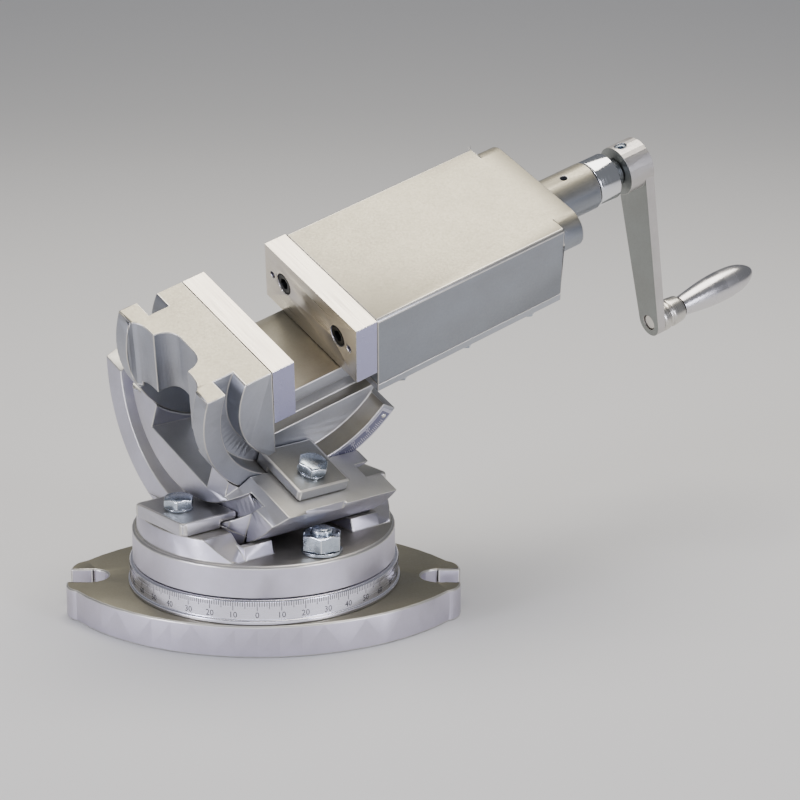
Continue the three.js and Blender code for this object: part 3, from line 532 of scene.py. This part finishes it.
# The bluish end colour is a painted reflection.
jaw_steel = ground_steel("ground_jaw_steel_painted_end_light", "#DED7CC", "#B6B6D6", 0.34, vise_frame)
jaw_edge = worn_edge("honed_jaw_edge", "#EFEDE8", 0.25)
black_oxide = worn_edge("black_oxide_steel", "#2C2D30", 0.38)
for jaw in ("fixed", "movable"):
    soften(f"{jaw}_jaw_plate", 0.3, "ground_steel", jaw_steel, jaw_edge)
    for end in ("front", "rear"):
        soften(f"{jaw}_plate_screw_{end}", 0.25, "black_screws", black_oxide)
        soften(f"{jaw}_plate_dowel_{end}", 0.15, "turned_steel", black_oxide)


# ---- Sliding jaw -------------------------------------------------------------------------------------
# A plated iron block hollowed to ride on the bed, with a round-ended bar and the screw's bearing housing
# behind it. Two ground steel strips under it hook the bed's flange, each held by three small bolts.
# Painted light and shade: a warm lit top and darker bluish sides.
block_iron = plated_iron("block_iron_painted_light", vise_up, "#B0AB9B", "#9BA0A8")
soften("movable_jaw", 0.5, "cast_body", block_iron, worn_and_highlight_edge)
keeper_steel = ground_steel("ground_keeper_steel_painted_end_light", "#B9BABD", "#B2B6BE", 0.36, vise_frame)
for end in ("front", "rear"):
    soften(f"keeper_{end}", 0.4, "ground_steel", keeper_steel, worn_and_highlight_edge)
    for i in (1, 2, 3):
        soften(f"keeper_bolt_{end}_{i}", 0.2, "plated_bolts", zinc)


# ---- Lead screw, nut, thrust ring and collar ---------------------------------------------------------
# A 14 mm screw with a 4 mm trapezoidal thread, cut in oiled steel, runs in a bronze nut that is screwed to
# the bed. A thrust ring and a bright-plated collar hold the screw endways in the housing.
SCREW_DROP, SCREW_RADIUS, SCREW_LEAD, THREAD_DEPTH = -1.0, 7.0, 4.0, 1.6
screw_frame = frame_of(cross_axis, slide_axis, vise_frame @ Vector((0, 0, SCREW_DROP * MM)))


def thread_surface(start, end, steps, sides):
    """A trapezoidal thread: the radius at height h and angle a is a clipped triangle wave of
    h / lead - a / 2 pi, THREAD_DEPTH deep. It fades out over the last 2 mm and has a 1.2 mm chamfer at
    the start."""
    h = np.linspace(start, end, steps)[:, None]
    a = np.linspace(0, 2 * np.pi, sides, endpoint=False)[None, :]
    wave = np.abs(((h / SCREW_LEAD - a / (2 * np.pi)) % 1) * 2 - 1)
    groove = np.clip((0.62 - wave) / 0.24, 0, 1) * np.clip((end - h) / 2, 0, 1)
    r = SCREW_RADIUS - THREAD_DEPTH * groove - 1.2 * np.clip(1 - (h - start) / 1.2, 0, 1)
    return np.stack([r * np.cos(a), r * np.sin(a), h + 0 * a], axis=-1)


SCREW_START, THREAD_END, HUB_SEAT, SCREW_END = 41.0, 124.0, 205.8, 218.7
SCREW_SIDES = 48
threaded = thread_surface(SCREW_START, THREAD_END, 360, SCREW_SIDES)
shank = fillet([(SCREW_RADIUS, THREAD_END), (SCREW_RADIUS, HUB_SEAT), (SCREW_RADIUS - 1, HUB_SEAT + 0.4),
                (SCREW_RADIUS - 1, SCREW_END), (0, SCREW_END)], 0.3)
screw_tip = np.repeat([[0, 0, SCREW_START]], SCREW_SIDES, axis=0)
screw_points = np.vstack([screw_tip, threaded.reshape(-1, 3), revolve(shank, SCREW_SIDES)])
screw_faces = grid_faces(len(screw_points) // SCREW_SIDES, SCREW_SIDES)
screw_steel = turned_metal("oiled_screw_steel", "#9DA1A5", 0.28, screw_frame)
screw = new_piece("lead_screw_threaded", screw_points, screw_faces, [screw_steel], "crank", "turned_steel",
                  screw_frame, smooth_deg=50)
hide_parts("lead_screw")

bronze = turned_metal("machined_bearing_bronze", "#B08C50", 0.34, vise_frame)
soften("lead_nut", 0.4, "bronze", bronze)
soften("lead_nut_screw", 0.2, "plated_bolts", zinc)
soften("thrust_ring", 0.3, "turned_steel", screw_steel)

COLLAR_LOW, COLLAR_HIGH, COLLAR_RADIUS, BORE, COLLAR_SIDES = 188.1, 200.5, 12.0, 7.3, 96
collar_profile = [(BORE, COLLAR_LOW), (COLLAR_RADIUS, COLLAR_LOW), (COLLAR_RADIUS, COLLAR_HIGH),
                  (BORE, COLLAR_HIGH), (BORE, COLLAR_LOW)]
collar_points = revolve(fillet(collar_profile, 0.7), COLLAR_SIDES)
collar_faces = grid_faces(len(collar_points) // COLLAR_SIDES, COLLAR_SIDES)
collar_chrome = turned_metal("bright_plated_collar", "#E4E6EA", 0.1, screw_frame, pitch_mm=1.4,
                             depth_mm=0.002)
collar = new_piece("screw_collar_turned", collar_points, collar_faces, [collar_chrome], "crank",
                   "bright_ring", screw_frame)
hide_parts("screw_collar")


# ---- Crank, spindle and grip -------------------------------------------------------------------------
# A forged and plated crank arm with rounded edges, fixed to the screw by a small set screw in its hub. A
# turned steel spindle with a beaded ferrule is riveted through its end, and a polished grip turns on it.
# Painted shade: the arm's broad face, looking along minus the slide axis, is darker than its edges.
crank_iron = plated_iron("crank_forging_painted_shade", -slide_axis, "#8F9391", "#CBC8C6", roughness=0.42)
soften("crank_arm", 1.1, "cast_body", crank_iron, worn_and_highlight_edge, segments=3, flat_mm2=60, clamp=True)
soften("crank_set_screw", 0.1, "black_screws", zinc)

arm_axis = Vector(joint["grip_spin"]["pos_m"])
along_screw = (arm_axis - screw_frame.translation).dot(slide_axis)
grip_frame = frame_of(cross_axis, slide_axis, arm_axis - slide_axis * along_screw)
HUB_END, GRIP_START, GRIP_END = 220.7, 237.2, 286.2
ferrule_start = HUB_END + 0.3
ferrule_profile = [(0, HUB_END - 4.2), (4, HUB_END - 4.2), (4, ferrule_start), (7.3, ferrule_start),
                   (7.7, ferrule_start + 1), (7.7, ferrule_start + 4), (6.7, ferrule_start + 4.7),
                   (6.7, ferrule_start + 6.2), (7.5, ferrule_start + 7), (7.5, ferrule_start + 8.6),
                   (6.9, GRIP_START - 2), (5.2, GRIP_START - 0.4), (2.5, GRIP_START - 0.4),
                   (2.5, GRIP_END - 6), (1.5, GRIP_END - 5), (0, GRIP_END - 5)]
FERRULE_SIDES = 64
ferrule_points = revolve(fillet(ferrule_profile, 0.7), FERRULE_SIDES)
ferrule_faces = grid_faces(len(ferrule_points) // FERRULE_SIDES, FERRULE_SIDES)
ferrule_steel = turned_metal("turned_ferrule_steel", "#CFCCC6", 0.28, grip_frame, depth_mm=0.001)
ferrule = new_piece("handle_spindle_turned", ferrule_points, ferrule_faces, [ferrule_steel], "crank",
                    "turned_steel", grip_frame)
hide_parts("handle_spindle")

# The grip's outline: a sine swell from neck to belly, times a rounding-off of its last 28 percent.
GRIP_NECK, GRIP_BELLY, GRIP_BORE, GRIP_SIDES = 4.9, 8.0, 2.8, 72
t = np.linspace(0, 1, 48)
swell = np.sin(np.pi * np.minimum(1, 0.06 + 0.9 * t) ** 1.15)
rounding = np.sqrt(np.clip(1 - np.clip((t - 0.72) / 0.28, 0, 1) ** 2.4, 0, 1))
belly = (GRIP_NECK + (GRIP_BELLY - GRIP_NECK) * swell) * rounding
outside = np.stack([belly, GRIP_START + t * (GRIP_END - GRIP_START)], axis=1)
inside = np.array([(0, GRIP_END - 3.5), (GRIP_BORE, GRIP_END - 4.2), (GRIP_BORE, GRIP_START),
                   (GRIP_NECK - 0.3, GRIP_START)])
grip_points = revolve(np.vstack([inside, outside]), GRIP_SIDES)
grip_faces = grid_faces(len(grip_points) // GRIP_SIDES, GRIP_SIDES)
grip_steel = turned_metal("polished_grip_steel", "#D6D4D6", 0.25, grip_frame, pitch_mm=8.0, depth_mm=0.0002)
grip = new_piece("crank_grip_turned", grip_points, grip_faces, [grip_steel], "grip", "polished_grip",
                 grip_frame)
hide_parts("crank_grip")


# ---- Floor, light and camera -------------------------------------------------------------------------
# A plain pale floor that curves up far behind, one broad lamp overhead, a low one in front and one on either
# side. The side lamps give the turned rims their pair of upright highlights.
def floor_sheet(half, back, rise):
    """A sheet whose height is 0 in front and rise * ((y - back) / half) ^ 2 behind."""
    x, y = np.meshgrid(np.linspace(-half, half, 24), np.linspace(-half, half * 1.6, 48), indexing="ij")
    z = rise * (np.clip(y - back, 0, None) / half) ** 2
    points = np.stack([x, y, z], axis=-1).reshape(-1, 3)
    corner = (np.arange(23)[:, None] * 48 + np.arange(47)[None, :])
    return points, np.stack([corner, corner + 48, corner + 49, corner + 1], axis=-1).reshape(-1, 4)


points, faces = floor_sheet(3.0, 1.2, 1.6)
floor_mesh = bpy.data.meshes.new("floor")
floor_mesh.from_pydata(points.tolist(), [], faces.tolist())
floor_mesh.shade_smooth()
floor = bpy.data.objects.new("floor", floor_mesh)
bpy.context.scene.collection.objects.link(floor)
floor_paper = bpy.data.materials.new("pale_studio_paper")
floor_paper.use_nodes = True
floor_paper.node_tree.nodes["Principled BSDF"].inputs["Base Color"].default_value = linear("#DADBDD")
floor_paper.node_tree.nodes["Principled BSDF"].inputs["Roughness"].default_value = 0.85
floor_mesh.materials.append(floor_paper)


def softbox(name, place, target, size, power, colour):
    """A rectangular lamp at place that faces target."""
    lamp = bpy.data.lights.new(name, "AREA")
    lamp.shape = "RECTANGLE"
    lamp.size, lamp.size_y = size
    lamp.energy = power
    lamp.color = linear(colour)[:3]
    holder = bpy.data.objects.new(name, lamp)
    holder.location = place
    holder.rotation_euler = (Vector(target) - Vector(place)).to_track_quat("-Z", "Y").to_euler()
    bpy.context.scene.collection.objects.link(holder)


softbox("lamp_overhead", (0.1, 0.3, 1.25), (0.05, 0, 0.1), (1.1, 0.9), 20.0, "#FFF8EC")
softbox("lamp_left", (-1.0, -0.8, 0.3), (0, 0, 0.06), (0.3, 0.6), 11.0, "#F0F0FF")
softbox("lamp_right", (0.95, -0.85, 0.3), (0, 0, 0.06), (0.25, 0.6), 8.0, "#F0F0FF")
softbox("lamp_front", (0.0, -1.7, 0.25), (0, 0, 0.06), (1.2, 0.4), 7.0, "#F0F0FF")

world = bpy.data.worlds.new("studio")
bpy.context.scene.world = world
world.use_nodes = True
world.node_tree.nodes["Background"].inputs["Color"].default_value = linear("#C9CCD2")
world.node_tree.nodes["Background"].inputs["Strength"].default_value = 0.34

CAMERA_TARGET, CAMERA_DISTANCE, CAMERA_LIFT, LENS_MM = Vector((0.06498, 0, 0.1035)), 1.1991, 16.84, 114.8
lift = math.radians(CAMERA_LIFT)
camera = bpy.data.objects.new("camera", bpy.data.cameras.new("camera"))
camera.location = CAMERA_TARGET + CAMERA_DISTANCE * Vector((0, -math.cos(lift), math.sin(lift)))
camera.rotation_euler = (math.pi / 2 - lift, 0, 0)
camera.data.lens = LENS_MM
camera.data.clip_start, camera.data.clip_end = 0.05, 20.0
bpy.context.scene.collection.objects.link(camera)
bpy.context.scene.camera = camera
